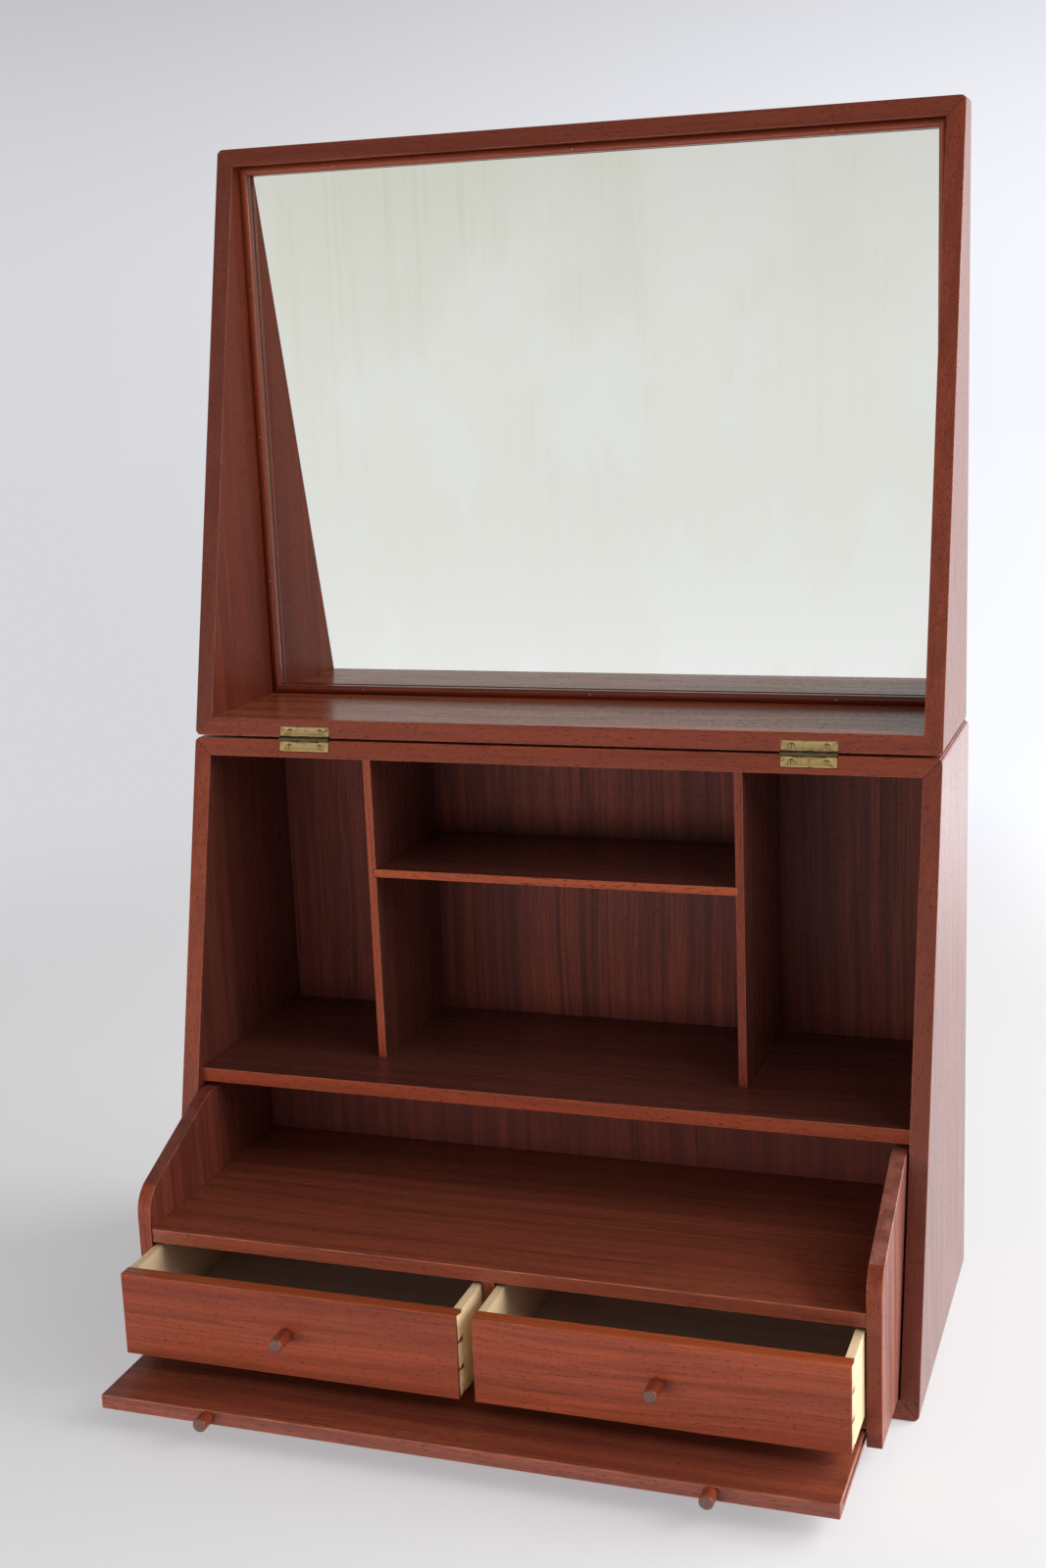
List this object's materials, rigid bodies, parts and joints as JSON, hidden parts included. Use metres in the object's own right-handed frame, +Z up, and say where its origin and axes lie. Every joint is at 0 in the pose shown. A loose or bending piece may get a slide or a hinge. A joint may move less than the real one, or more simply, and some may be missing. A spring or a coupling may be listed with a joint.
{
  "type": "vanity table with mirror",
  "caption": "Teak dressing cabinet with a fold-over mirror lid, open compartments, a sliding unit with a tray and dovetailed drawers, and a pull-out slide.",
  "frame": {"origin": "middle of the cabinet's underside, on the surface that it stands on", "axes": "+Z up, the open front faces -Y, +X to the right of someone who faces the front from -Y"},
  "size_m": [0.64, 0.4632, 0.99],
  "materials": {
    "teak": "oiled satin teak",
    "teak_panel": "oiled teak veneer",
    "beech": "bare beech",
    "brass": "tarnished",
    "mirror": "silvered, polished"
  },
  "bodies": {
    "cabinet": {"cabinet_side_left": "teak", "cabinet_side_right": "teak", "cabinet_top": "teak", "cabinet_bottom": "teak", "cabinet_back_panel": "teak_panel", "main_shelf": "teak", "divider_left": "teak_panel", "divider_right": "teak_panel", "small_shelf": "teak", "hinge_leaf_lower_left": "brass", "hinge_leaf_lower_right": "brass", "hinge_screw_lower_left_1": "brass", "hinge_screw_lower_left_2": "brass", "hinge_screw_lower_right_1": "brass", "hinge_screw_lower_right_2": "brass", "hinge_pin_left": "brass", "hinge_pin_right": "brass"},
    "lid": {"lid_side_left": "teak", "lid_side_right": "teak", "lid_top": "teak", "lid_bottom": "teak", "lid_back_panel": "teak_panel", "mirror_glass": "mirror", "mirror_bead_left": "teak", "mirror_bead_right": "teak", "mirror_bead_top": "teak", "mirror_bead_bottom": "teak", "hinge_leaf_upper_left": "brass", "hinge_leaf_upper_right": "brass", "hinge_screw_upper_left_1": "brass", "hinge_screw_upper_left_2": "brass", "hinge_screw_upper_right_1": "brass", "hinge_screw_upper_right_2": "brass"},
    "drawer_unit": {"unit_side_left": "teak", "unit_side_right": "teak", "unit_tray": "teak", "unit_back_panel": "teak_panel", "unit_partition": "teak", "unit_dust_panel": "teak_panel", "slide_runner_left": "beech", "slide_runner_right": "beech"},
    "drawer_left": {"drawer_left_front": "teak", "drawer_left_knob": "teak", "drawer_left_side_a": "beech", "drawer_left_side_b": "beech", "drawer_left_back": "beech", "drawer_left_floor": "beech"},
    "drawer_right": {"drawer_right_front": "teak", "drawer_right_knob": "teak", "drawer_right_side_a": "beech", "drawer_right_side_b": "beech", "drawer_right_back": "beech", "drawer_right_floor": "beech"},
    "pull_out_slide": {"slide_board": "teak", "slide_knob_left": "teak", "slide_knob_right": "teak"}
  },
  "joints": [
    {"name": "lid_hinge", "type": "hinge", "parent": "cabinet", "child": "lid", "pos_m": [0, -0.02379, 0.495], "axis": [1, 0, 0], "range_deg": [0, 150]},
    {"name": "drawer_unit_slide", "type": "slide", "parent": "cabinet", "child": "drawer_unit", "axis": [0, -1, 0], "range_m": [-0.0935, 0]},
    {"name": "drawer_left_slide", "type": "slide", "parent": "drawer_unit", "child": "drawer_left", "axis": [0, -1, 0], "range_m": [-0.0545, 0.11]},
    {"name": "drawer_right_slide", "type": "slide", "parent": "drawer_unit", "child": "drawer_right", "axis": [0, -1, 0], "range_m": [-0.0545, 0.11]},
    {"name": "slide_travel", "type": "slide", "parent": "drawer_unit", "child": "pull_out_slide", "axis": [0, -1, 0], "range_m": [-0.0982, 0.045]}
  ]
}
